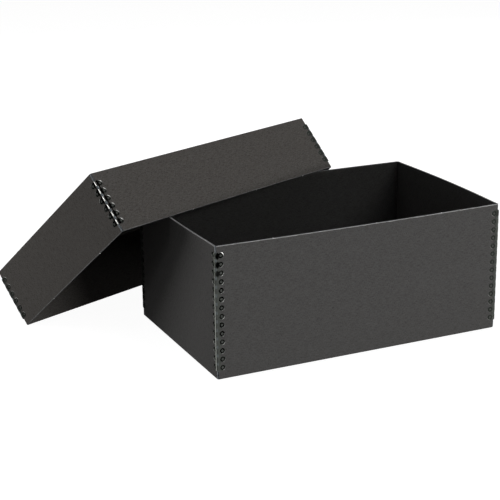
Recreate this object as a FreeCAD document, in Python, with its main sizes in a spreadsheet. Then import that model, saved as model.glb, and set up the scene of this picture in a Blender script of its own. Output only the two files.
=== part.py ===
"""Archival storage box: a folded board tray and its loose lid, with pronged metal stays at the corners.

The origin is the centre of the base's underside. The long side runs along X and the front faces -Y.
The lid has been lifted off and leans on the base: its front rim lies across the left and rear walls,
and its rear rim stands on the ground behind them.
"""
import FreeCAD, Part
import math
import os
import Sketcher

Rotation = FreeCAD.Rotation
Vector = FreeCAD.Vector

os.makedirs("parts", exist_ok=True)
doc = FreeCAD.newDocument("archival_storage_box")

# Driving sizes, in millimetres and degrees
SIZES = {
    "base_length": 298.5,
    "base_width": 190.0,
    "base_height": 127.0,
    "lid_depth": 62.7,
    "lid_play": 1.5,
    "board_thickness": 1.5,
    "corner_slit": 0.2,
    "fold_rounding": 1.2,
    "stay_gauge": 0.3,
    "stay_bend": 0.9,
    "stay_seat": 0.05,
    "spine_width": 1.9,
    "fold_margin": 8.5,
    "base_stations": 14,
    "lid_stations": 6,
    "station_pitch": 8.2,
    "tooth_offset": 5.3,
    "tooth_radius": 2.0,
    "tooth_depth": 1.2,
    "pit_clearance": 0.1,
    "paddle_radius": 2.9,
    "lid_yaw": 23.2,
    "lid_reach_x": 81.6,
    "lid_reach_y": 51.1,
    "lid_rest_gap": 0.3,
}
sizes = doc.addObject("Spreadsheet::Sheet", "sizes")
for row, (alias, number) in enumerate(SIZES.items(), start=1):
    sizes.set(f"A{row}", alias)
    sizes.set(f"B{row}", str(number))
    sizes.setAlias(f"B{row}", alias)
doc.recompute()

# Formulas for what follows from the driving sizes
BASE = {
    "length": "sizes.base_length",
    "width": "sizes.base_width",
    "depth": "sizes.base_height",
    "stations": "sizes.base_stations",
}
LID = {
    "length": "(sizes.base_length + 2 * (sizes.lid_play + sizes.board_thickness))",
    "width": "(sizes.base_width + 2 * (sizes.lid_play + sizes.board_thickness))",
    "depth": "sizes.lid_depth",
    "stations": "sizes.lid_stations",
}
NOTCH = "(sizes.board_thickness + sizes.corner_slit)"
PIT_RADIUS = "(sizes.tooth_radius + sizes.pit_clearance)"
STAY_OUTSIDE = "(sizes.stay_seat + sizes.stay_gauge)"
TOOTH_SIDES = 6
PADDLE_FLATS = 5


def origin_feature(body, role):
    """The body's own origin plane or axis of this role."""
    return next(item for item in body.Origin.OriginFeatures if item.Role == role)


def add_sketch(body, name, role, x="0", y="0", z="0"):
    """A sketch on one of the body's origin planes, shifted along the plane's own axes."""
    sketch = body.newObject("Sketcher::SketchObject", name)
    sketch.AttachmentSupport = [(origin_feature(body, role), "")]
    sketch.MapMode = "FlatFace"
    for axis, shift in zip("xyz", (x, y, z)):
        sketch.setExpression(f"AttachmentOffset.Base.{axis}", shift)
    return sketch


def add_feature(body, kind, name, **settings):
    """A solid feature of the body, made its tip."""
    feature = body.newObject(f"PartDesign::{kind}", name)
    for key, setting in settings.items():
        setattr(feature, key, setting)
    feature.Refine = True
    body.Tip = feature
    return feature


def add_size(sketch, kind, places, name, formula):
    """A dimension of the sketch that follows a formula of the sheet."""
    start = 1.0
    index = sketch.addConstraint(Sketcher.Constraint(kind, *places, start))
    sketch.renameConstraint(index, name)
    sketch.setExpression(f"Constraints.{name}", formula)


def draw_loop(sketch, points, square=True):
    """Lines through the points, each joined to the next. In a square loop each is level or upright."""
    count = len(points)
    for index, start in enumerate(points):
        end = points[(index + 1) % count]
        sketch.addGeometry(Part.LineSegment(Vector(*start, 0), Vector(*end, 0)))
        if square:
            direction = "Horizontal" if start[1] == end[1] else "Vertical"
            sketch.addConstraint(Sketcher.Constraint(direction, index))
    for index in range(count):
        sketch.addConstraint(Sketcher.Constraint("Coincident", index, 2, (index + 1) % count, 1))


def draw_centred_rectangle(sketch, length, width):
    """A rectangle about the sketch's origin."""
    draw_loop(sketch, [(-1, -1), (1, -1), (1, 1), (-1, 1)])
    sketch.addConstraint(Sketcher.Constraint("Symmetric", 0, 1, 2, 1, -1, 1))
    add_size(sketch, "DistanceX", (0, 1, 0, 2), "length", length)
    add_size(sketch, "DistanceY", (1, 1, 1, 2), "width", width)


def polar(radius, angle):
    """A point at this radius and angle from the origin."""
    return (radius * math.cos(angle), radius * math.sin(angle))


def hold_on_circle(sketch, corners, sides, radius):
    """A construction circle about the origin that carries the corners, with equal sides between them."""
    circle = sketch.addGeometry(Part.Circle(Vector(0, 0, 0), Vector(0, 0, 1), 1), True)
    sketch.addConstraint(Sketcher.Constraint("Coincident", circle, 3, -1, 1))
    add_size(sketch, "Radius", (circle,), "radius", radius)
    for line, end in corners:
        sketch.addConstraint(Sketcher.Constraint("PointOnObject", line, end, circle))
    for side in sides[1:]:
        sketch.addConstraint(Sketcher.Constraint("Equal", sides[0], side))


def draw_polygon(sketch, radius):
    """A regular polygon about the sketch's origin, its first corner on the sketch's X axis."""
    step = 2 * math.pi / TOOTH_SIDES
    draw_loop(sketch, [polar(1, step * corner) for corner in range(TOOTH_SIDES)], square=False)
    sketch.addConstraint(Sketcher.Constraint("PointOnObject", 0, 1, -1))
    sides = list(range(TOOTH_SIDES))
    hold_on_circle(sketch, [(side, 1) for side in sides], sides, radius)


def draw_paddle(sketch, radius, neck):
    """A tongue with a rounded end about the sketch's origin, drawn with flats, and a straight neck behind it."""
    step = math.pi / PADDLE_FLATS
    rounded = [polar(1, step * corner - math.pi / 2) for corner in range(PADDLE_FLATS + 1)]
    draw_loop(sketch, [*rounded, (-2, 1), (-2, -1)], square=False)
    top, back, bottom = PADDLE_FLATS, PADDLE_FLATS + 1, PADDLE_FLATS + 2
    sketch.addConstraint(Sketcher.Constraint("Horizontal", top))
    sketch.addConstraint(Sketcher.Constraint("Vertical", back))
    sketch.addConstraint(Sketcher.Constraint("Horizontal", bottom))
    sketch.addConstraint(Sketcher.Constraint("PointOnObject", 0, 1, -2))
    sketch.addConstraint(Sketcher.Constraint("PointOnObject", top, 1, -2))
    sides = list(range(PADDLE_FLATS))
    hold_on_circle(sketch, [(side, 1) for side in sides] + [(top, 1)], sides, radius)
    add_size(sketch, "DistanceX", (bottom, 1, -1, 1), "neck", neck)


def add_spike(body, kind, name, role, place, base, tip, radius):
    """A pyramid from a polygon at the base's height over the plane to a point at the tip's height."""
    mouth = add_sketch(body, f"{name}_mouth", role, *place, base)
    draw_polygon(mouth, radius)
    point = add_sketch(body, f"{name}_point", role, *place, tip)
    point.addGeometry(Part.Point(Vector(0, 0, 0)))
    point.addConstraint(Sketcher.Constraint("Coincident", 0, 1, -1, 1))
    doc.recompute()
    return add_feature(body, kind, name, Profile=mouth, Sections=[(point, ["Vertex1"])], Ruled=True)


def edges_where(shape, test):
    """Names of the edges whose middle and length pass the test."""
    names = []
    for number, edge in enumerate(shape.Edges, start=1):
        if test(edge.BoundBox.Center, edge.Length):
            names.append(f"Edge{number}")
    return names


def add_row(body, name, stations):
    """A row of copies up the body's Z axis, one station apart."""
    row = body.newObject("PartDesign::LinearPattern", name)
    row.Direction = (origin_feature(body, "Z_Axis"), [""])
    row.setExpression("Length", f"({stations} - 1) * sizes.station_pitch")
    row.setExpression("Occurrences", stations)
    return row


def repeat_at_corners(body, feature, name, stations=None):
    """The feature at all four corners, and where it has stations also up each of them."""
    repeats = body.newObject("PartDesign::MultiTransform", name)
    steps = [add_row(body, f"{name}_row", stations)] if stations else []
    for plane in ("YZ_Plane", "XZ_Plane"):
        mirror = body.newObject("PartDesign::Mirrored", f"{name}_{plane[:2]}")
        mirror.MirrorPlane = (origin_feature(body, plane), [""])
        steps.append(mirror)
    repeats.Originals = [feature]
    repeats.Transformations = steps
    repeats.Refine = True
    body.Tip = repeats


def make_tray(label, part):
    """A sheet of board folded into a panel and four walls, open at the top, standing on its panel."""
    body = doc.addObject("PartDesign::Body", label)
    length, width = part["length"], part["width"]

    outline = add_sketch(body, f"{label}_outline", "XY_Plane")
    draw_centred_rectangle(outline, length, width)
    block = add_feature(body, "Pad", f"{label}_block", Profile=outline)
    block.setExpression("Length", part["depth"])

    inside = add_sketch(body, f"{label}_inside", "XY_Plane", z="sizes.board_thickness")
    draw_centred_rectangle(inside, f"{length} - 2 * sizes.board_thickness", f"{width} - 2 * sizes.board_thickness")
    add_feature(body, "Pocket", f"{label}_hollow", Profile=inside, Type="ThroughAll", Reversed=True)

    # The sheet's corners are cut away, so neighbouring walls meet edge to edge with a slit between them
    corner = add_sketch(body, f"{label}_corner", "XY_Plane")
    draw_loop(corner, [(-2, -2), (-1, -2), (-1, -1), (-2, -1)])
    add_size(corner, "DistanceX", (0, 1, 0, 2), "notch_length", NOTCH)
    add_size(corner, "DistanceY", (1, 1, 1, 2), "notch_width", NOTCH)
    add_size(corner, "DistanceX", (0, 1, -1, 1), "half_length", f"{length} / 2")
    add_size(corner, "DistanceY", (0, 1, -1, 1), "half_width", f"{width} / 2")
    notch = add_feature(body, "Pocket", f"{label}_notch", Profile=corner, Type="ThroughAll", Reversed=True)
    repeat_at_corners(body, notch, f"{label}_notches")
    doc.recompute()

    # Each scored fold is rounded where the board bends
    longest_cut = sizes.board_thickness + sizes.corner_slit
    folds = edges_where(body.Tip.Shape, lambda middle, length: abs(middle.z) < 1e-6 and length > 2 * longest_cut)
    rounding = add_feature(body, "Fillet", f"{label}_folds", Base=(body.Tip, folds))
    rounding.setExpression("Radius", "sizes.fold_rounding")

    # The teeth of the stays bite into pits beside each corner of each wall
    height = "sizes.fold_margin + sizes.paddle_radius"
    for side, role, across, out, inward in (
        ("long", "XZ_Plane", length, f"{width} / 2", -1),
        ("end", "YZ_Plane", width, f"-{length} / 2", 1),
    ):
        place = (f"sizes.tooth_offset - {across} / 2", height)
        depth = f"{out} + {inward} * (sizes.tooth_depth - sizes.stay_seat + sizes.pit_clearance)"
        pit = add_spike(body, "SubtractiveLoft", f"{label}_{side}_pit", role, place, out, depth, PIT_RADIUS)
        repeat_at_corners(body, pit, f"{label}_{side}_pits", part["stations"])
    return body


def add_flange(body, name, role, outward):
    """The paddle and tooth of one station on one side of the bend. Its plane points outward or inward."""
    place = ("sizes.tooth_offset", "sizes.paddle_radius")
    seat = f"{outward} * sizes.stay_seat"
    face = f"{outward} * {STAY_OUTSIDE}"

    outline = add_sketch(body, f"{name}_paddle_outline", role, *place, seat)
    draw_paddle(outline, "sizes.paddle_radius", "sizes.tooth_offset - sizes.spine_width / 2")
    paddle = add_feature(body, "Pad", f"{name}_paddle", Profile=outline, Reversed=outward < 0)
    paddle.setExpression("Length", "sizes.stay_gauge")

    tip = f"{seat} - {outward} * sizes.tooth_depth"
    tooth = add_spike(body, "AdditiveLoft", f"{name}_tooth", role, place, seat, tip, "sizes.tooth_radius")
    tip = f"{face} - {outward} * sizes.tooth_depth"
    dimple = add_spike(body, "SubtractiveLoft", f"{name}_dimple", role, place, face, tip, "sizes.tooth_radius")
    return [paddle, tooth, dimple]


def make_stay(label, stations):
    """A strip bent along its length, with a pronged paddle at each station on both sides.

    The corner of the board is at its origin and its lower end at zero height.
    """
    body = doc.addObject("PartDesign::Body", label)
    section = add_sketch(body, f"{label}_section", "XY_Plane")
    draw_loop(section, [(-1, -1), (3, -1), (3, 0), (0, 0), (0, 3), (-1, 3)])
    for kind, places, name, formula in (
        ("DistanceX", (3, 1, -1, 1), "seat_x", "sizes.stay_seat"),
        ("DistanceY", (3, 1, -1, 1), "seat_y", "sizes.stay_seat"),
        ("DistanceY", (1, 1, 1, 2), "gauge_y", "sizes.stay_gauge"),
        ("DistanceX", (4, 2, 3, 2), "gauge_x", "sizes.stay_gauge"),
        ("DistanceX", (-1, 1, 1, 1), "spine_x", "sizes.spine_width"),
        ("DistanceY", (-1, 1, 3, 2), "spine_y", "sizes.spine_width"),
    ):
        add_size(section, kind, places, name, formula)
    spine = add_feature(body, "Pad", f"{label}_spine", Profile=section)
    spine.setExpression("Length", f"({stations} - 1) * sizes.station_pitch + 2 * sizes.paddle_radius")
    doc.recompute()

    for side, offset, radius in (
        ("outside", sizes.stay_seat + sizes.stay_gauge, "sizes.stay_bend"),
        ("inside", sizes.stay_seat, "sizes.stay_bend - sizes.stay_gauge"),
    ):
        corner = Vector(-offset, -offset, body.Tip.Shape.BoundBox.Center.z)
        edge = edges_where(body.Tip.Shape, lambda middle, length: middle.isEqual(corner, 1e-6))
        bend = add_feature(body, "Fillet", f"{label}_bend_{side}", Base=(body.Tip, edge))
        bend.setExpression("Radius", radius)
        doc.recompute()

    originals = add_flange(body, f"{label}_front", "XZ_Plane", 1) + add_flange(body, f"{label}_end", "YZ_Plane", -1)
    row = add_row(body, f"{label}_row", stations)
    row.Originals = originals
    row.Refine = True
    body.Tip = row
    return body


def place_stays(first, part, prefix, stand=""):
    """The first stay at its tray's front left corner, and copies of it at the other three.

    A tray that has been turned over carries the stays of its front on its other long side.
    """
    front = 1 if stand else -1
    corners = {
        "front_left": (-1, front),
        "front_right": (1, front),
        "rear_right": (1, -front),
        "rear_left": (-1, -front),
    }
    quarter_turns = {(-1, -1): 0, (1, -1): 1, (1, 1): 2, (-1, 1): 3}
    bodies = []
    for name, (side_x, side_y) in corners.items():
        label = f"{prefix}_stay_{name}"
        if first.Label == label:
            stay = first
        else:
            stay = doc.addObject("PartDesign::Body", label)
            copy = doc.addObject("PartDesign::FeatureBase", f"{label}_copy")
            copy.BaseFeature = first
            stay.Group = [copy]
            stay.Tip = copy
        corner = f"vector({side_x} * {part['length']} / 2; {side_y} * {part['width']} / 2; sizes.fold_margin)"
        turn = f"rotation(vector(0; 0; 1); {90 * quarter_turns[side_x, side_y]})"
        stay.setExpression("Placement", f"{stand}placement({corner}; {turn})")
        bodies.append(stay)
    return bodies


base_board = make_tray("base_board", BASE)
base_stays = place_stays(make_stay("base_stay_front_left", BASE["stations"]), BASE, "base")

# The lid leans with the inner edge of its front rim on the base's rims and its rear rim on the ground.
# From right to left: turned over, moved to that inner edge, tipped back, turned about the upright
lean = f"asin((sizes.base_height + sizes.lid_rest_gap) / ({LID['width']} - sizes.board_thickness))"
stand = doc.addObject("App::Placement", "lid_stand")
stand.setExpression(
    "Placement",
    "placement(vector(sizes.lid_reach_x - sizes.base_length / 2; sizes.base_width / 2 - sizes.lid_reach_y;"
    " sizes.base_height + sizes.lid_rest_gap); rotation(vector(0; 0; 1); sizes.lid_yaw))"
    f" * placement(vector(0; 0; 0); rotation(vector(1; 0; 0); -{lean}))"
    f" * placement(vector(0; {LID['width']} / 2 - sizes.board_thickness; sizes.lid_depth);"
    " rotation(vector(1; 0; 0); 180))",
)
doc.recompute()

lid_board = make_tray("lid_board", LID)
lid_board.setExpression("Placement", "lid_stand.Placement")
lid_stays = place_stays(make_stay("lid_stay_front_left", LID["stations"]), LID, "lid", "lid_stand.Placement * ")
doc.recompute()

for item in doc.Objects:
    if {"Invalid", "Error"} & set(item.State):
        raise RuntimeError(f"{item.Name} is {item.State}")

# A cut that misses its solid shows no error, so each feature's volume is compared with the one before it
for item in doc.Objects:
    if item.TypeId in ("PartDesign::Pocket", "PartDesign::SubtractiveLoft"):
        if item.Shape.Volume >= item.BaseFeature.Shape.Volume:
            raise RuntimeError(f"{item.Name} cuts nothing")

for node in [base_board, *base_stays, lid_board, *lid_stays]:
    shape = node.Shape
    if shape.isNull() or not shape.isValid() or len(shape.Solids) != 1:
        raise RuntimeError(f"{node.Label} has no valid single solid")
    shape.exportStep(f"parts/{node.Label}.step")
    print(node.Label, round(shape.Volume, 1), "mm3")
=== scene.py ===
import math
import random

import bmesh
import bpy
from mathutils import Matrix, Vector
from mathutils.geometry import delaunay_2d_cdt


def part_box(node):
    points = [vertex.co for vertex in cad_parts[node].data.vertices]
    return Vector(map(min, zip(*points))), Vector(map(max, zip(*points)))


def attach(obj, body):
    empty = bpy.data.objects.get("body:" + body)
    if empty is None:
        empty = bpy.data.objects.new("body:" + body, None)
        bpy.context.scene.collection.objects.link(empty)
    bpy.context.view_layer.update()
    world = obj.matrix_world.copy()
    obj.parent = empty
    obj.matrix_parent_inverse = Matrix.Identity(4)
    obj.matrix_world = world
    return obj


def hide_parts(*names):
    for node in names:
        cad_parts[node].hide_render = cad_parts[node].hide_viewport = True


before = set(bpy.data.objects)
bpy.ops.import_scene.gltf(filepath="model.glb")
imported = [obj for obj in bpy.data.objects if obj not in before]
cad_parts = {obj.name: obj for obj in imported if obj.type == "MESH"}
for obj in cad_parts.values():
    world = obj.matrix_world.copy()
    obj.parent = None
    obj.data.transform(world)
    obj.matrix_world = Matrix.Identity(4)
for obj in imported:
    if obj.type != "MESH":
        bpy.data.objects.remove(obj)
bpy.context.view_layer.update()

# Base board
# One sheet of black board 1.5 mm thick, die-cut as a panel with four flaps, scored and folded up into a tray.
# The walls spring slightly outwards, and meet at the corners, their cut ends reaching just past each other so that no
# slit is left.
MM = 0.001
BOARD = 1.5 * MM
CORNER_SLIT = -0.09 * MM
FOLD_ROUNDING = 1.2 * MM
INNER_CREASE = 0.15 * MM
FOLD_STEPS = 4
GRID_STEP = 7 * MM
EDGE_ROWS = (0.25 * MM, 0.8 * MM, 2.5 * MM)
CUT_ROUNDING = 0.1 * MM
WELD = 0.001 * MM
FAR_FROM_EDGE = 10 * MM

base_low, base_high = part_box("base_board")
BASE_LENGTH = base_high.x - base_low.x
BASE_WIDTH = base_high.y - base_low.y
BASE_HEIGHT = base_high.z
BASE_SPRING = (2.2 * MM, 2.6 * MM, 2.8 * MM, 1.8 * MM)

# A pit is left in the board under each tooth of the corner stays, in a row beside every cut end
PITCH = 8.2 * MM
LOBE_RADIUS = 2.9 * MM
STAY_MARGIN = 8.5 * MM
TOOTH_FROM_CORNER = 5.3 * MM
PIT_RADIUS = 2.7 * MM
PIT_DEPTH = 1.3 * MM
PIT_CORNERS = 16
HELD_BY_STAY = 8 * MM
BASE_STATIONS = 14

# Stubs of torn board stand on the rims where the sheet was held in its die. The walls are numbered from the
# front anticlockwise, and each stub is so far from the middle of its wall
NICK_LENGTH = 0.9 * MM
NICK_HEIGHT = 0.35 * MM
BASE_NICKS = {
    0: (-92.7 * MM, 13.0 * MM, 83.6 * MM, 104.8 * MM),
    1: (-72.8 * MM, -60.5 * MM, 31.0 * MM),
    2: (-98.0 * MM, -21.0 * MM, 66.0 * MM),
    3: (74.2 * MM, -12.0 * MM),
}


def spread(start, end, step):
    """Evenly spaced places from start to end, no further apart than the step."""
    count = max(1, math.ceil((end - start) / step - 1e-6))
    return [start + (end - start) * index / count for index in range(count + 1)]


def arc(centre, radius, start, end, steps):
    """Points on an arc between two angles in degrees."""
    points = []
    for index in range(steps + 1):
        angle = math.radians(start + (end - start) * index / steps)
        points.append((centre[0] + radius * math.cos(angle), centre[1] + radius * math.sin(angle)))
    return points


def wall_section(depth):
    """The outside and inside lines of a folded wall, from the panel over the fold and up to the rim.

    Each point is (distance beyond the wall's outer face, height).
    """
    crease = BOARD + INNER_CREASE
    start = -(BOARD + CORNER_SLIT)
    outside = [(start, 0), *arc((-FOLD_ROUNDING, FOLD_ROUNDING), FOLD_ROUNDING, -90, 0, FOLD_STEPS)]
    inside = [(start, BOARD), *arc((-crease, crease), INNER_CREASE, -90, 0, FOLD_STEPS)]
    top_rows = [depth - row for row in reversed(EDGE_ROWS)]
    for height in [*spread(2 * crease, top_rows[0], GRID_STEP), *top_rows[1:], depth]:
        outside.append((0, height))
        inside.append((-BOARD, height))
    return outside, inside


def developed(line):
    """How far along the flat sheet each point of a section line lies."""
    lengths = [0]
    for near, far in zip(line, line[1:]):
        lengths.append(lengths[-1] + math.dist(near, far))
    return lengths


def along_wall(half):
    """Places along a wall from one cut end to the other, closer together beside the ends."""
    ends = [half - row for row in (0, *EDGE_ROWS)]
    middle = spread(-ends[-1], ends[-1], GRID_STEP)
    return [*[-place for place in ends[:-1]], *middle, *reversed(ends[:-1])]


def lay_quads(mesh, rows, material):
    """Quads between rows of (place, place on the flat sheet, distance to the nearest cut edge)."""
    sheet, rim = (mesh.loops.layers.uv[name] for name in ("sheet", "rim"))
    grid = [[(mesh.verts.new(place), flat, to_edge) for place, flat, to_edge in row] for row in rows]
    for near, far in zip(grid, grid[1:]):
        for corners in zip(near, near[1:], far[1:], far):
            face = mesh.faces.new([corner for corner, flat, to_edge in corners])
            face.material_index = material
            face.smooth = True
            for loop, (corner, flat, to_edge) in zip(face.loops, corners):
                loop[sheet].uv = flat
                loop[rim].uv = (to_edge, 0)


class Wall:
    """One folded-up wall of a tray, with places on it given along it, beyond its outer face and up it."""

    def __init__(self, number, size, depth, spring):
        length, across = size if number % 2 == 0 else reversed(size)
        self.turn = Matrix.Rotation(math.radians(90 * number), 3, "Z")
        self.across = across
        self.depth = depth
        self.half = length / 2 - BOARD - CORNER_SLIT
        self.bow = spring[number]

    def point(self, place, out, height):
        share = abs(place) / (self.half - HELD_BY_STAY)
        sprung = self.bow * max(0, 1 - share**2) * (height / self.depth) ** 1.5
        return self.turn @ Vector((place, -self.across / 2 - out - sprung, height))

    def on_sheet(self, place, length):
        folded_at = self.across / 2 - BOARD - CORNER_SLIT
        return (self.turn @ Vector((place, -folded_at - length, 0))).xy

    def surface(self, line, outside):
        """Rows of points along the wall for the outside or inside line of its section."""
        rows = []
        for (out, height), length in zip(line, developed(line)):
            row = []
            for place in along_wall(self.half):
                to_edge = min(self.depth - height, FAR_FROM_EDGE) if outside else FAR_FROM_EDGE
                row.append((self.point(place, out, height), self.on_sheet(place, length), to_edge))
            rows.append(row)
        return rows

    def pits(self, mesh, stations):
        """A plug in the place of each pit, to be cut from the wall."""
        outward = Matrix.Rotation(math.pi / 2, 4, "X")
        for side in (-1, 1):
            place = side * (self.half + BOARD + CORNER_SLIT - TOOTH_FROM_CORNER)
            for station in range(stations):
                middle = self.point(place, 0, STAY_MARGIN + LOBE_RADIUS + station * PITCH)
                shape = {"segments": PIT_CORNERS, "cap_ends": True, "depth": 2 * PIT_DEPTH}
                stand = Matrix.Translation(middle) @ self.turn.to_4x4() @ outward
                bmesh.ops.create_cone(mesh, radius1=PIT_RADIUS, radius2=PIT_RADIUS, matrix=stand, **shape)


def cut_edge_row(row, ply):
    """A row of a surface as one side of the cut edge there, laid out along the edge and through the plies."""
    lengths = developed([place for place, flat, to_edge in row])
    return [(place, (length, ply * BOARD), 0) for (place, flat, to_edge), length in zip(row, lengths)]


def add_nick(mesh, wall, place, chance):
    """A small torn stub on the rim: a ragged wedge of the board's fibres."""
    half = NICK_LENGTH / 2 * chance.uniform(0.7, 1.2)
    top = NICK_HEIGHT * chance.uniform(0.6, 1.2)
    foot, crest = [], []
    for along, out in ((-half, -0.15), (half, -0.2), (half, -0.8), (-half, -0.85)):
        foot.append(mesh.verts.new(wall.point(place + along, out * BOARD, wall.depth)))
        shrunk = along * chance.uniform(0.3, 0.8)
        rise = wall.depth + top * chance.uniform(0.5, 1)
        crest.append(mesh.verts.new(wall.point(place + shrunk, (0.5 * out - 0.25) * BOARD, rise)))
    faces = [mesh.faces.new(crest), mesh.faces.new(list(reversed(foot)))]
    for near, far in ((0, 1), (1, 2), (2, 3), (3, 0)):
        faces.append(mesh.faces.new((foot[near], foot[far], crest[far], crest[near])))
    for face in faces:
        face.material_index = 3


def as_object(name, mesh):
    """The mesh as an object of the scene, its faces turned outwards."""
    bmesh.ops.recalc_face_normals(mesh, faces=mesh.faces)
    data = bpy.data.meshes.new(name)
    mesh.to_mesh(data)
    mesh.free()
    thing = bpy.data.objects.new(name, data)
    bpy.context.scene.collection.objects.link(thing)
    return thing


def cut_from(thing, plugs):
    """Cuts the plugs out of the thing's mesh, and removes them."""
    cut = thing.modifiers.new("pits", "BOOLEAN")
    cut.object = plugs
    cut.solver = "EXACT"
    bpy.context.view_layer.update()
    whole = bpy.context.evaluated_depsgraph_get()
    thing.data = bpy.data.meshes.new_from_object(thing.evaluated_get(whole))
    thing.modifiers.remove(cut)
    bpy.data.objects.remove(plugs)


def fold_tray(name, size, depth, spring, stations, nicks):
    """A sheet with four flaps folded up into a tray, the middle of its panel's underside at the origin."""
    mesh = bmesh.new()
    for layer in ("sheet", "rim"):
        mesh.loops.layers.uv.new(layer)
    walls = [Wall(number, size, depth, spring) for number in range(4)]
    columns, lines = along_wall(walls[0].half), along_wall(walls[1].half)
    for height in (0, BOARD):
        lay_quads(mesh, [[((x, y, height), (x, y), FAR_FROM_EDGE) for x in columns] for y in lines], 0)
    for wall in walls:
        faces = [wall.surface(line, side == 0) for side, line in enumerate(wall_section(depth))]
        for face in faces:
            lay_quads(mesh, face, 0)
        lay_quads(mesh, [cut_edge_row(face[-1], ply) for ply, face in enumerate(faces)], 1)
        for end in (0, -1):
            ends = [[row[end] for row in face] for face in faces]
            lay_quads(mesh, [cut_edge_row(row, ply) for ply, row in enumerate(ends)], 2)
    bmesh.ops.remove_doubles(mesh, verts=mesh.verts, dist=WELD)
    tray = as_object(name, mesh)

    plugs = bmesh.new()
    for wall in walls:
        wall.pits(plugs, stations)
    cut_from(tray, as_object(f"{name}_plugs", plugs))

    mesh = bmesh.new()
    mesh.from_mesh(tray.data)
    chance = random.Random(name)
    for number, places in nicks.items():
        for place in places:
            add_nick(mesh, walls[number], place, chance)
    mesh.to_mesh(tray.data)
    mesh.free()
    rounding = tray.modifiers.new("cut_rounding", "BEVEL")
    rounding.width = CUT_ROUNDING
    rounding.segments = 2
    rounding.limit_method = "ANGLE"
    rounding.angle_limit = math.radians(50)
    return tray


def add_node(tree, kind, inputs=None, **properties):
    """A node with its properties and inputs set. An input is a value, or another node's output."""
    node = tree.nodes.new(kind)
    for key, value in properties.items():
        setattr(node, key, value)
    for key, value in (inputs or {}).items():
        if isinstance(value, bpy.types.NodeSocket):
            tree.links.new(value, node.inputs[key])
        else:
            node.inputs[key].default_value = value
    return node


def new_finish(name):
    """A material and its node tree, with nothing in it but the surface shader."""
    material = bpy.data.materials.new(name)
    material.use_nodes = True
    return material, material.node_tree, material.node_tree.nodes["Principled BSDF"]


def noise(tree, place, size, detail=3.0, roughness=0.55):
    """The height of a noise whose grains are about this size."""
    settings = {"Vector": place, "Scale": 1 / size, "Detail": detail, "Roughness": roughness}
    return add_node(tree, "ShaderNodeTexNoise", settings).outputs[0]


def ramp(tree, value, low, high, to_low=0.0, to_high=1.0):
    """A value carried from one range to another, and held at its ends."""
    inputs = {0: value, 1: low, 2: high, 3: to_low, 4: to_high}
    return add_node(tree, "ShaderNodeMapRange", inputs).outputs[0]


def blend(tree, share, first, second, kind="MIX"):
    """Two colours mixed by a share."""
    node = add_node(tree, "ShaderNodeMix", {0: share, 6: first, 7: second}, data_type="RGBA", blend_type=kind)
    return node.outputs[2]


def grey(level, warmth=0.0):
    """A grey, a little redder and less blue where it is warm."""
    return (level * (1 + warmth), level, level * (1 - warmth), 1)


def board_face(name, level, warmth, mottle, rub_and_highlight):
    """Black-dyed paper face: mottled fibres that lie along the sheet, and paler along the rim, partly rubbed and partly
    a painted highlight where the rim's edge catches the light.
    """
    material, tree, shader = new_finish(name)
    sheet = add_node(tree, "ShaderNodeUVMap", uv_map="sheet").outputs[0]
    lengthwise = add_node(tree, "ShaderNodeMapping", {"Vector": sheet, "Scale": (0.22, 1, 1)}).outputs[0]
    crosswise = add_node(tree, "ShaderNodeMapping", {"Vector": sheet, "Scale": (1, 0.3, 1)}).outputs[0]
    rim = add_node(tree, "ShaderNodeUVMap", uv_map="rim").outputs[0]
    to_edge = add_node(tree, "ShaderNodeSeparateXYZ", {0: rim}).outputs[0]

    clouds = noise(tree, sheet, 7 * MM, 4)
    grain = noise(tree, lengthwise, 0.9 * MM, 4, 0.65)
    strands = noise(tree, crosswise, 0.6 * MM, 2, 0.5)
    handling = noise(tree, sheet, 60 * MM, 2)
    colour = blend(tree, ramp(tree, clouds, 0.3, 0.7), grey(level * 0.84, warmth), grey(level * 1.08, warmth))
    pale, dark = grey(level * (1 + 0.3 * mottle), warmth * 0.5), grey(level * (1 - 0.34 * mottle), warmth)
    colour = blend(tree, ramp(tree, grain, 0.35, 0.65, 0, 0.8), colour, pale)
    colour = blend(tree, ramp(tree, strands, 0.5, 0.7, 0, 0.7), colour, dark)
    colour = blend(tree, ramp(tree, handling, 0.55, 0.75, 0, 0.12), colour, grey(level * 1.5))

    ragged = ramp(tree, grain, 0.3, 0.7, 0.3 * MM, 0.9 * MM)
    # Painted highlight and rubbing: a pale band along the rim, strong on the base and faint on the lid, whose rims lie
    # in shade
    rub_and_highlight_share = ramp(tree, to_edge, 0.0, ragged, rub_and_highlight, 0.0)
    colour = blend(tree, rub_and_highlight_share, colour, grey(0.5))
    tree.links.new(colour, shader.inputs["Base Color"])
    tree.links.new(ramp(tree, clouds, 0.3, 0.7, 0.72, 0.84), shader.inputs["Roughness"])
    shader.inputs["Specular IOR Level"].default_value = 0.03

    tooth = add_node(tree, "ShaderNodeBump", {"Strength": 0.35, "Distance": 0.05 * MM, "Height": grain})
    swell = add_node(
        tree,
        "ShaderNodeBump",
        {"Strength": 0.25, "Distance": 0.15 * MM, "Height": clouds, "Normal": tooth.outputs[0]},
    )
    tree.links.new(swell.outputs[0], shader.inputs["Normal"])
    return material


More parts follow.
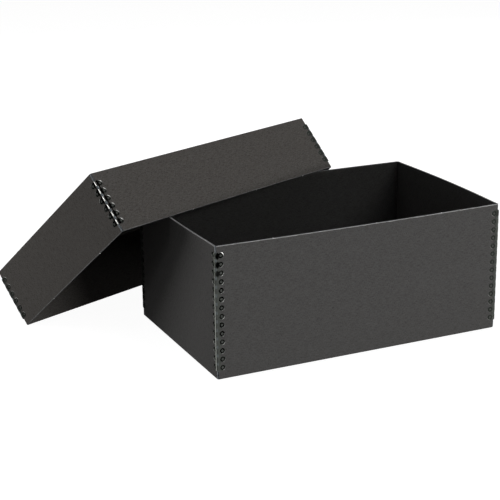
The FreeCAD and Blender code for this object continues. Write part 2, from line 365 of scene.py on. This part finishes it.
def board_cut(name, level, coolness):
    """The die-cut edge of the board: its pressed plies show as fine lines along a fuzzy bluish grey edge."""
    material, tree, shader = new_finish(name)
    place = add_node(tree, "ShaderNodeTexCoord").outputs["Object"]
    sheet = add_node(tree, "ShaderNodeUVMap", uv_map="sheet").outputs[0]
    plies = {"Vector": sheet, "Scale": 3 / BOARD / (2 * math.pi), "Distortion": 0.8, "Detail": 2.0}
    lines = add_node(tree, "ShaderNodeTexWave", plies, bands_direction="Y").outputs["Fac"]
    fuzz = noise(tree, place, 0.5 * MM, 4, 0.7)
    patches = noise(tree, place, 5 * MM, 2)
    cool = -coolness
    colour = blend(tree, ramp(tree, fuzz, 0.3, 0.75), grey(level * 0.75, cool), grey(level * 1.25, cool))
    colour = blend(tree, ramp(tree, lines, 0.2, 0.9, 0, 0.3), colour, grey(level * 0.5, cool))
    colour = blend(tree, ramp(tree, patches, 0.45, 0.7, 0, 0.4), colour, grey(level * 1.4))
    tree.links.new(colour, shader.inputs["Base Color"])
    tree.links.new(ramp(tree, fuzz, 0.3, 0.7, 0.85, 0.95), shader.inputs["Roughness"])
    shader.inputs["Specular IOR Level"].default_value = 0.1
    bump = add_node(tree, "ShaderNodeBump", {"Strength": 0.6, "Distance": 0.08 * MM, "Height": fuzz})
    tree.links.new(bump.outputs[0], shader.inputs["Normal"])
    return material


def torn_fibre(name, level):
    """The pale torn end of a stub on a rim."""
    material, tree, shader = new_finish(name)
    place = add_node(tree, "ShaderNodeTexCoord").outputs["Object"]
    strands = noise(tree, place, 0.2 * MM, 3, 0.7)
    colour = blend(tree, ramp(tree, strands, 0.3, 0.7), grey(level * 0.6), grey(level * 1.4))
    tree.links.new(colour, shader.inputs["Base Color"])
    shader.inputs["Roughness"].default_value = 0.95
    shader.inputs["Specular IOR Level"].default_value = 0.1
    bump = add_node(tree, "ShaderNodeBump", {"Strength": 0.8, "Distance": 0.1 * MM, "Height": strands})
    tree.links.new(bump.outputs[0], shader.inputs["Normal"])
    return material


FACE_GREY = 0.058
# Painted light and shade on the cut rims: the base's rims are pale, partly from the pale cut fibres and partly painted
# light, and the lid's rims of the same board are painted nearly as dark as its face, as painted shade
RIM_GREY = 0.27
END_GREY = 0.15
TORN_GREY = 0.75
base_rim = board_cut("base_board_rim", RIM_GREY, 0.02)
cut_end = board_cut("board_cut_end", END_GREY, 0.09)
torn_stub = torn_fibre("board_torn_fibre", TORN_GREY)

base_size = (BASE_LENGTH, BASE_WIDTH)
base_tray = fold_tray("base_tray", base_size, BASE_HEIGHT, BASE_SPRING, BASE_STATIONS, BASE_NICKS)
for finish in (board_face("base_board_face", FACE_GREY, 0.03, 1.2, 0.9), base_rim, cut_end, torn_stub):
    base_tray.data.materials.append(finish)
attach(base_tray, "base")
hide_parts("base_board")

# Base stays
# A strip of black-enamelled steel 0.3 mm thick is wrapped round each upright corner, and holds the walls together.
# A ring punch drove each lobe, on both sides of the bend, into the board, and left a groove round its tooth, painted
# black as shade.
GAUGE = 0.3 * MM
STAY_LIFT = 0.35 * MM
STAY_BEND = 0.9 * MM
SPINE_FROM_CORNER = 3.0 * MM

# Places across the strip are measured along its outer face from the middle of the bend
ARC_HALF = STAY_BEND * math.pi / 4
FLAT_START = STAY_BEND - STAY_LIFT
TOOTH_ACROSS = ARC_HALF + TOOTH_FROM_CORNER - FLAT_START
SPINE_ACROSS = ARC_HALF + SPINE_FROM_CORNER - FLAT_START
SLOT_RADIUS = PITCH / 2 - LOBE_RADIUS
PUNCH_RINGS = [radius * MM for radius in (0.5, 0.95, 1.1, 1.25, 1.4, 1.6, 1.8, 2.0, 2.2, 2.4, 2.6)]
GROOVE_RADIUS = 1.85 * MM
GROOVE_HALF = 0.75 * MM
GROOVE_DEPTH = 0.8 * MM
LOBE_SUNK = 0.22 * MM
FLANK_SUNK = 0.3 * MM
GUSSET_SUNK = 0.28 * MM
RING_CORNERS = 24
METAL_STEP = 0.5 * MM
BEND_STEP = 0.2 * MM
EDGE_CLEAR = 0.22 * MM
# How strong the wear, painted shade and painted highlights are on all but the most marked stay
LESS_WEAR_AND_PAINTED_LIGHT = 0.5


def strip_half(stations):
    """One side of the flat strip's outline going up: round each lobe, and into the slot after it."""
    points = []
    for station in range(stations):
        middle = LOBE_RADIUS + station * PITCH
        points += arc((TOOTH_ACROSS, middle), LOBE_RADIUS, -90, 90, 14)
        if station < stations - 1:
            points += arc((SPINE_ACROSS + SLOT_RADIUS, middle + PITCH / 2), SLOT_RADIUS, -90, -270, 8)
    return points


def divided(points, step):
    """A closed line with points added until none are further apart than the step."""
    finer = []
    for near, far in zip(points, points[1:] + points[:1]):
        count = max(1, math.ceil(math.dist(near, far) / step))
        for index in range(count):
            share = index / count
            finer.append((near[0] + (far[0] - near[0]) * share, near[1] + (far[1] - near[1]) * share))
    return finer


def nearest_tooth(across, along, stations):
    """The number of the nearest station, and the distance to the tooth there on this side of the bend."""
    station = min(stations - 1, max(0, round((along - LOBE_RADIUS) / PITCH)))
    return station, math.hypot(abs(across) - TOOTH_ACROSS, along - LOBE_RADIUS - station * PITCH)


def inside_strip(across, along, stations, height):
    """Whether a point is on the metal, clear of its edges and of the punch marks."""
    station, to_tooth = nearest_tooth(across, along, stations)
    if to_tooth < PUNCH_RINGS[-1] + EDGE_CLEAR:
        return False
    if not EDGE_CLEAR < along < height - EDGE_CLEAR:
        return False
    on_spine = abs(across) < SPINE_ACROSS - EDGE_CLEAR / 2
    on_neck = abs(across) < TOOTH_ACROSS and abs(along - LOBE_RADIUS - station * PITCH) < LOBE_RADIUS - EDGE_CLEAR
    return on_spine or on_neck or to_tooth < LOBE_RADIUS - EDGE_CLEAR


def flat_strip(stations):
    """The flat strip as (points, triangles), with rings for the punch marks, and how many points are on its outline."""
    half = strip_half(stations)
    mirrored = [(-across, along) for across, along in reversed(half)]
    points = divided(half + mirrored, METAL_STEP)
    outline = len(points)
    bounds = [(index, (index + 1) % outline) for index in range(outline)]
    height = (stations - 1) * PITCH + 2 * LOBE_RADIUS
    for station in range(stations):
        for side in (-1, 1):
            tooth = (side * TOOTH_ACROSS, LOBE_RADIUS + station * PITCH)
            points.append(tooth)
            for radius in PUNCH_RINGS:
                points += arc(tooth, radius, 0, 360, RING_CORNERS)[:-1]
    near = spread(0, ARC_HALF, BEND_STEP)
    across_places = near + spread(ARC_HALF, TOOTH_ACROSS + LOBE_RADIUS, METAL_STEP)[1:]
    across_places = [-place for place in reversed(across_places[1:])] + across_places
    for along in spread(0, height, METAL_STEP):
        points += [(across, along) for across in across_places if inside_strip(across, along, stations, height)]

    inside_bounds = 1
    flat = [Vector(point) for point in points]
    corners, _, triangles, *_ = delaunay_2d_cdt(flat, bounds, [], inside_bounds, WELD)
    return corners, triangles, outline


def smooth_step(share):
    """0 to 1, easing in and out."""
    share = min(1, max(0, share))
    return share * share * (3 - 2 * share)


class Pressing:
    """How the presses left one stay: gussets across its bend, a groove round each tooth, and dented necks."""

    def __init__(self, name, stations, neck_dents, flank, wear_and_painted_light, painted_glints):
        chance = random.Random(name)
        self.stations = stations
        self.neck_dents = neck_dents
        self.flank = flank
        self.wear_and_painted_light = wear_and_painted_light
        self.pinch = GUSSET_SUNK * (0.3 + 0.7 * flank * wear_and_painted_light)
        self.lobes = {}
        for side in (-1, 1):
            for station in range(stations):
                shares = {"tilt": (-0.05, 0.05), "groove": (0.85, 1.1), "painted_glint": painted_glints[side]}
                self.lobes[side, station] = {key: chance.uniform(*limits) for key, limits in shares.items()}

    def lobe(self, across, along):
        """The lobe on this side at the nearest station, and how far up from its tooth a point is."""
        station, to_tooth = nearest_tooth(across, along, self.stations)
        side = 1 if across > 0 else -1
        return (side, station), to_tooth, along - LOBE_RADIUS - station * PITCH

    def groove(self, across, along):
        """How deep into the groove round a tooth a point is, from 0 to 1."""
        lobe, to_tooth, up = self.lobe(across, along)
        return smooth_step(1.7 - 1.5 * abs(to_tooth - GROOVE_RADIUS) / GROOVE_HALF) * self.lobes[lobe]["groove"]

    def hollow(self, across, along):
        """How deep into a dented neck, or into the hollow beside the bend, a point is, from 0 to 1."""
        lobe, to_tooth, up = self.lobe(across, along)
        out = abs(across)
        dent = smooth_step(2.2 - 1.4 * math.hypot((out - 2.1 * MM) / (1.5 * MM), (up + 0.2 * MM) / (2.4 * MM)))
        beside = smooth_step(2.0 - abs(out - 2.5 * MM) / (0.9 * MM))
        return max(self.neck_dents.get(lobe, 0) * dent, self.flank * beside)

    def gusset(self, across, along):
        """How far onto the flat between two stations, where the bend is pinched in, a point is, from 0 to 1."""
        phase = 2 * math.pi * (along - LOBE_RADIUS) / PITCH
        reach = (0.8 + 0.4 * self.flank) * MM
        return smooth_step(-0.2 - 1.6 * math.cos(phase)) * smooth_step(2.1 - abs(across) / reach)

    def painted_glint(self, across, along):
        """How far onto the painted glint on the lower outer lip of a lobe a point is, from 0 to 1. The worst dent
        turned it up, and its glint is painted brightest.
        """
        lobe, to_tooth, up = self.lobe(across, along)
        if self.neck_dents.get(lobe) == 1:
            up = -up
        turned = (abs(across) - TOOTH_ACROSS - up) / LOBE_RADIUS
        on_rim = smooth_step((to_tooth - 2.2 * MM) / (0.3 * MM))
        share = 1.5 if self.neck_dents.get(lobe) == 1 else self.lobes[lobe]["painted_glint"]
        return on_rim * smooth_step(2.2 * turned - 1.7) * share

    def height(self, across, along):
        """How far the metal stands off its plain bent shape."""
        lobe, to_tooth, up = self.lobe(across, along)
        out = abs(across)
        ridge = max(0, 1 - out / (1.3 * MM)) * max(0, math.cos(2 * math.pi * up / PITCH)) * 0.3 * self.pinch
        curl = 0.1 * MM * smooth_step((to_tooth - 2.45 * MM) / (0.45 * MM)) if out > TOOTH_ACROSS else 0
        on_lobe = smooth_step((out - SPINE_ACROSS) / (TOOTH_ACROSS - SPINE_ACROSS))
        sunk = on_lobe * (LOBE_SUNK - self.lobes[lobe]["tilt"] * MM) + curl
        pressed = max(GROOVE_DEPTH * self.groove(across, along), FLANK_SUNK * self.hollow(across, along))
        return ridge - sunk - pressed - self.pinch * self.gusset(across, along)


def wrapped(across, along, stand_off):
    """A point of the strip once it is bent round the board's corner, which is at the origin."""
    if abs(across) <= ARC_HALF:
        angle = -3 * math.pi / 4 + across / STAY_BEND
        radius = STAY_BEND + stand_off
        return (FLAT_START + radius * math.cos(angle), FLAT_START + radius * math.sin(angle), along)
    beyond = FLAT_START + abs(across) - ARC_HALF
    if across > 0:
        return (beyond, -STAY_LIFT - stand_off, along)
    return (-STAY_LIFT - stand_off, beyond, along)


def press_stay(name, strip, pressing, wear_and_highlight_line):
    """A stay as an object, its lower end and the board's corner at the origin."""
    corners, triangles, outline = strip
    data = bpy.data.meshes.new(name)
    places = [wrapped(x, y, pressing.height(x, y)) for x, y in corners]
    data.from_pydata(places, [], triangles)
    marks = {"painted_reflection": [], "painted_glint": [], "wear_and_highlight": [], "painted_shade": []}
    for across, along in corners:
        pinched = pressing.gusset(across, along)
        # Painted shade: the grooves and dented hollows are painted black for the shade that lies in them
        painted_dark = max(pressing.groove(across, along), 1.5 * pressing.hollow(across, along) * (1 - pinched))
        # Painted reflection: the pinched knuckles between stations get a blue-grey colour
        marks["painted_reflection"].append(pinched)
        # Painted highlight: glints on the lower outer lips of the lobes
        marks["painted_glint"].append(pressing.wear_and_painted_light * pressing.painted_glint(across, along))
        # Wear and painted highlight: a bare metal line along the bend
        marks["wear_and_highlight"].append(pressing.wear_and_painted_light * wear_and_highlight_line(across, pinched))
        marks["painted_shade"].append(pressing.wear_and_painted_light * min(1, painted_dark))
    for kind, values in marks.items():
        data.attributes.new(kind, "FLOAT", "POINT").data.foreach_set("value", values)
    for face in data.polygons:
        face.use_smooth = True
    stay = bpy.data.objects.new(name, data)
    bpy.context.scene.collection.objects.link(stay)
    sheet = stay.modifiers.new("gauge", "SOLIDIFY")
    sheet.thickness = GAUGE
    sheet.offset = -1
    sheet.use_even_offset = False
    edges = stay.modifiers.new("edge_rounding", "BEVEL")
    edges.width = 0.05 * MM
    edges.segments = 1
    edges.limit_method = "ANGLE"
    edges.angle_limit = math.radians(60)
    return stay


def enamelled_steel(name, pinched, bare_and_highlight_colour):
    """Black stoving enamel with no sheen of its own: dark grey-green on the flats, partly dust and partly a painted
    stand-in for its sheen; painted black shade in the grooves and hollows; a painted blue-grey reflection on the
    pinched knuckles; worn to bare metal along the bend, which is also a painted highlight; and painted glints on the
    lips.
    """
    material, tree, shader = new_finish(name)
    place = add_node(tree, "ShaderNodeTexCoord").outputs["Object"]
    upright = add_node(tree, "ShaderNodeMapping", {"Vector": place, "Scale": (1, 1, 0.25)}).outputs[0]
    kinds = ("wear_and_highlight", "painted_shade", "painted_reflection", "painted_glint")
    marks = [add_node(tree, "ShaderNodeAttribute", attribute_name=kind).outputs["Fac"] for kind in kinds]
    wear_and_highlight, painted_shade, painted_reflection, painted_glint = marks
    peel = noise(tree, place, 1.1 * MM, 2)
    smears = noise(tree, upright, 3 * MM, 4, 0.65)
    specks = noise(tree, place, 0.8 * MM, 4, 0.7)
    patchy = ramp(tree, specks, 0.35, 0.65, 0.6, 1.1)
    # Wear and painted highlight: bare metal along the bend, dull on the base and bright on the lid
    wear_and_highlight_share = add_node(tree, "ShaderNodeMath", {0: patchy, 1: wear_and_highlight}, operation="MULTIPLY").outputs[0]
    bare_and_highlight = ramp(tree, wear_and_highlight_share, 0.45, 0.75)
    # The dark grey-green of the flats is partly dust and partly a painted stand-in for the enamel's sheen
    colour = blend(tree, ramp(tree, smears, 0.35, 0.7), (0.046, 0.051, 0.045, 1), (0.068, 0.075, 0.065, 1))
    colour = blend(tree, ramp(tree, specks, 0.4, 0.7, 0, 0.7), colour, grey(0.085))
    # Painted reflection: blue-grey on the pinched knuckles, stronger on the lid
    pinch = add_node(tree, "ShaderNodeMath", {0: painted_reflection, 1: pinched}, operation="MULTIPLY").outputs[0]
    colour = blend(tree, pinch, colour, (0.14, 0.158, 0.17, 1))
    colour = blend(tree, bare_and_highlight, colour, bare_and_highlight_colour)
    # Painted shade: near-black in the grooves and hollows
    colour = blend(tree, painted_shade, colour, grey(0.001))
    # Painted highlight: near-white metal where the lips catch the light
    glint = add_node(tree, "ShaderNodeMath", {0: patchy, 1: painted_glint}, operation="MULTIPLY").outputs[0]
    colour = blend(tree, glint, colour, (0.8, 0.8, 0.77, 1))
    tree.links.new(colour, shader.inputs["Base Color"])
    metal = add_node(tree, "ShaderNodeMath", {0: bare_and_highlight, 1: glint}, operation="MAXIMUM").outputs[0]
    tree.links.new(metal, shader.inputs["Metallic"])
    tree.links.new(ramp(tree, smears, 0.3, 0.75, 0.2, 0.4), shader.inputs["Roughness"])
    shader.inputs["Specular IOR Level"].default_value = 0.0
    bump = add_node(tree, "ShaderNodeBump", {"Strength": 0.3, "Distance": 0.06 * MM, "Height": peel})
    chips = add_node(
        tree,
        "ShaderNodeBump",
        {"Strength": 0.4, "Distance": 0.03 * MM, "Height": bare_and_highlight, "Normal": bump.outputs[0]},
        invert=True,
    )
    tree.links.new(chips.outputs[0], shader.inputs["Normal"])
    return material


def set_stays(stations, tray_size, stand, body, names, most_worn_and_painted, enamel, wear_and_highlight_line, painted_glints, flank=0, dents=None):
    """A stay at each corner of a tray of this size. Names go round from the front left, anticlockwise."""
    length, width = tray_size
    strip = flat_strip(stations)
    corners = ((-length, -width), (length, -width), (length, width), (-length, width))
    for turns, (name, (x, y)) in enumerate(zip(names, corners)):
        # Wear and painted light: one stay gets full-strength painted shade, glints and highlight line, the others less
        wear_and_painted_light = 1 if name == most_worn_and_painted else LESS_WEAR_AND_PAINTED_LIGHT
        pressing = Pressing(name, stations, (dents or {}).get(name, {}), flank, wear_and_painted_light, painted_glints)
        stay = press_stay(f"{name}_metal", strip, pressing, wear_and_highlight_line)
        corner = Matrix.Translation((x / 2, y / 2, STAY_MARGIN))
        stay.matrix_world = stand @ corner @ Matrix.Rotation(math.radians(90 * turns), 4, "Z")
        stay.data.materials.append(enamel)
        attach(stay, body)
        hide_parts(name)


def base_wear_and_highlight_line(across, pinched):
    """A line beside the bend, worn to dull bare metal all the way up, and placed as a painted highlight."""
    return smooth_step(1.5 - abs(across + 2.1 * MM) / (1.1 * MM))


# The press bit deepest into the necks of the uppermost lobes on the front wall, and those necks are painted black as
# shade
TOP = BASE_STATIONS - 1
DENTS = {
    "base_stay_front_left": {(1, TOP): 1.0, (1, TOP - 1): 0.9, (1, TOP - 2): 0.6},
    "base_stay_front_right": {(-1, TOP): 0.9},
}
set_stays(
    BASE_STATIONS,
    base_size,
    Matrix.Identity(4),
    "base",
    [f"base_stay_{corner}" for corner in ("front_left", "front_right", "rear_right", "rear_left")],
    "base_stay_front_left",
    enamelled_steel("dulled_enamel", 0.5, (0.175, 0.186, 0.162, 1)),
    base_wear_and_highlight_line,
    {-1: (0.1, 0.5), 1: (0.1, 0.4)},
    dents=DENTS,
)

# Lid board
# The lid is a shallower tray of the same board, wide enough to slip over the base. It leans on the base, upside
# down: the inner edge of one long rim lies across the base's left and rear rims, and the other is on the ground.
LID_PLAY = 1.5 * MM
LID_DEPTH = 62.7 * MM
LID_STATIONS = 6
LID_LENGTH = BASE_LENGTH + 2 * (LID_PLAY + BOARD)
LID_WIDTH = BASE_WIDTH + 2 * (LID_PLAY + BOARD)
LID_SPRING = (0, 0.7 * MM, 0.9 * MM, 0.7 * MM)
LID_YAW = math.radians(23.2)
LID_REACH_X = 81.6 * MM
LID_REACH_Y = 51.1 * MM
REST_GAP = 0.3 * MM
LID_FACE_GREY = 0.057
# Painted shade: the lid's cut rims are painted nearly as dark as its face
LID_RIM_SHADED_GREY = 0.06
LID_NICKS = {
    1: (18.0 * MM,),
    2: (-104.0 * MM, -31.0 * MM, 60.0 * MM),
    3: (-55.0 * MM, 38.0 * MM),
}

lean = math.asin((BASE_HEIGHT + REST_GAP) / (LID_WIDTH - BOARD))
rest = Vector((LID_REACH_X - BASE_LENGTH / 2, BASE_WIDTH / 2 - LID_REACH_Y, BASE_HEIGHT + REST_GAP))
tipped = Matrix.Rotation(LID_YAW, 4, "Z") @ Matrix.Rotation(-lean, 4, "X")
turned_over = Matrix.Translation((0, LID_WIDTH / 2 - BOARD, LID_DEPTH)) @ Matrix.Rotation(math.pi, 4, "X")
LID_STAND = Matrix.Translation(rest) @ tipped @ turned_over

lid_size = (LID_LENGTH, LID_WIDTH)
lid_tray = fold_tray("lid_tray", lid_size, LID_DEPTH, LID_SPRING, LID_STATIONS, LID_NICKS)
lid_tray.matrix_world = LID_STAND
lid_face = board_face("lid_board_face", LID_FACE_GREY, 0.09, 1.9, 0.3)
for finish in (lid_face, board_cut("lid_board_rim", LID_RIM_SHADED_GREY, 0.05), cut_end, torn_stub):
    lid_tray.data.materials.append(finish)
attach(lid_tray, "lid")
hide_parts("lid_board")

# Lid stays
# Shorter lengths of the same strip hold the lid's corners. Turned over, the lid has its own front at the rear.
def lid_wear_and_highlight_line(across, pinched):
    """A line along the crest of the bend, worn to bright bare metal as a painted highlight, broken where the bend is
    pinched in.
    """
    return smooth_step(1.6 - abs(across - 0.4 * MM) / (0.65 * MM)) * (1 - min(1, 1.4 * pinched))


set_stays(
    LID_STATIONS,
    lid_size,
    LID_STAND,
    "lid",
    [f"lid_stay_{corner}" for corner in ("rear_left", "rear_right", "front_right", "front_left")],
    "lid_stay_front_left",
    enamelled_steel("enamel_worn_and_highlit", 1.0, (0.75, 0.75, 0.72, 1)),
    lid_wear_and_highlight_line,
    {-1: (0.6, 1.1), 1: (0.1, 0.35)},
    # The hollows beside the lid's bends are dented, and painted black as shade
    flank=1,
)

# Floor and backdrop
# A plain white floor that runs out past the horizon. It glows a little to the camera, and keeps the soft shadow.
FLOOR_HALF = 9.0
FLOOR_PAINT = 0.3
FLOOR_GLOW = 0.955
floor_data = bpy.data.meshes.new("floor")
floor_data.from_pydata(
    [(-FLOOR_HALF, -FLOOR_HALF, 0), (FLOOR_HALF, -FLOOR_HALF, 0), (FLOOR_HALF, FLOOR_HALF, 0), (-FLOOR_HALF, FLOOR_HALF, 0)],
    [],
    [(0, 1, 2, 3)],
)
floor = bpy.data.objects.new("floor", floor_data)
bpy.context.scene.collection.objects.link(floor)
FLOOR_DROP = 0.2 * MM
floor.location.z = -FLOOR_DROP


def seen_directly(tree):
    """1 for a ray from the camera, or one that a gloss or glass sends on, and 0 for any other."""
    path = add_node(tree, "ShaderNodeLightPath").outputs
    seen = add_node(tree, "ShaderNodeMath", {0: path["Is Camera Ray"], 1: path["Is Glossy Ray"]}, operation="MAXIMUM")
    both = {0: seen.outputs[0], 1: path["Is Transmission Ray"]}
    return add_node(tree, "ShaderNodeMath", both, operation="MAXIMUM").outputs[0]


floor_paint, tree, shader = new_finish("floor_paint")
shader.inputs["Base Color"].default_value = grey(FLOOR_PAINT)
shader.inputs["Roughness"].default_value = 1.0
shader.inputs["Specular IOR Level"].default_value = 0.0
shader.inputs["Emission Color"].default_value = (1, 1, 1, 1)
glow = add_node(tree, "ShaderNodeMath", {0: seen_directly(tree), 1: FLOOR_GLOW}, operation="MULTIPLY")
tree.links.new(glow.outputs[0], shader.inputs["Emission Strength"])
floor_data.materials.append(floor_paint)

# Light
# A white surround under a dark ceiling, dim as a light. Low soft boxes light the sides and leave the open inside
# dark, one overhead picks out the rims, and a small bright key puts glints on the enamel.
AMBIENT = 0.02
CEILING = 0.08
world = bpy.data.worlds.new("surround")
bpy.context.scene.world = world
world.use_nodes = True
surround = world.node_tree
direction = add_node(surround, "ShaderNodeTexCoord").outputs["Generated"]
rise = add_node(surround, "ShaderNodeSeparateXYZ", {0: direction}).outputs[2]
backdrop = ramp(surround, rise, 0.3, 0.55, 1, CEILING)
share = seen_directly(surround)
strength = add_node(surround, "ShaderNodeMix", {0: share, 2: AMBIENT, 3: backdrop}, data_type="FLOAT").outputs[0]
surround.links.new(strength, surround.nodes["Background"].inputs["Strength"])
surround.nodes["Background"].inputs["Color"].default_value = (1, 1, 1, 1)


def soft_box(name, place, aim, width, height, power):
    """A rectangular lamp that faces a point."""
    lamp = bpy.data.lights.new(name, "AREA")
    lamp.shape = "RECTANGLE"
    lamp.size, lamp.size_y = width, height
    lamp.energy = power
    light = bpy.data.objects.new(name, lamp)
    light.location = place
    light.rotation_euler = (Vector(aim) - Vector(place)).to_track_quat("-Z", "Y").to_euler()
    bpy.context.scene.collection.objects.link(light)


AIM = (0, 0, 0.08)
soft_box("front_box", (0.85, -3.0, 0.09), (0.85, 0, 0.09), 1.2, 0.16, 72)
soft_box("raised_front_box", (0.55, -1.5, 0.85), AIM, 0.8, 0.3, 5.5)
soft_box("left_box", (-1.5, 0.8, 0.3), AIM, 1.0, 0.3, 15)
soft_box("left_fill", (-1.7, -0.1, 0.2), AIM, 0.6, 0.3, 1.1)
soft_box("top_box", (0.1, 0.6, 1.7), AIM, 1.0, 0.8, 10)
soft_box("right_box", (1.7, 0.2, 0.25), AIM, 0.9, 0.4, 4)
soft_box("rear_box", (0.5, 1.8, 0.4), AIM, 1.2, 0.4, 4)
soft_box("key", (-1.456, -0.705, 0.826), AIM, 0.1, 0.1, 1.2)

# Camera
# It stands as the photograph's did: in front and to the left, looking slightly down through a long lens.
CAMERA_PLACE = (-0.6107, -1.1750, 0.4998)
HEADING = math.radians(24.638)
PITCH_DOWN = math.radians(17.77)
ROLL = math.radians(-0.749)
view = bpy.data.cameras.new("camera")
view.sensor_width = 36
view.lens = 100.925
camera = bpy.data.objects.new("camera", view)
looking = Matrix.Rotation(-HEADING, 4, "Z") @ Matrix.Rotation(math.pi / 2 - PITCH_DOWN, 4, "X")
camera.matrix_world = Matrix.Translation(CAMERA_PLACE) @ looking @ Matrix.Rotation(ROLL, 4, "Z")
bpy.context.scene.collection.objects.link(camera)
bpy.context.scene.camera = camera
bpy.context.scene.view_settings.view_transform = "Standard"
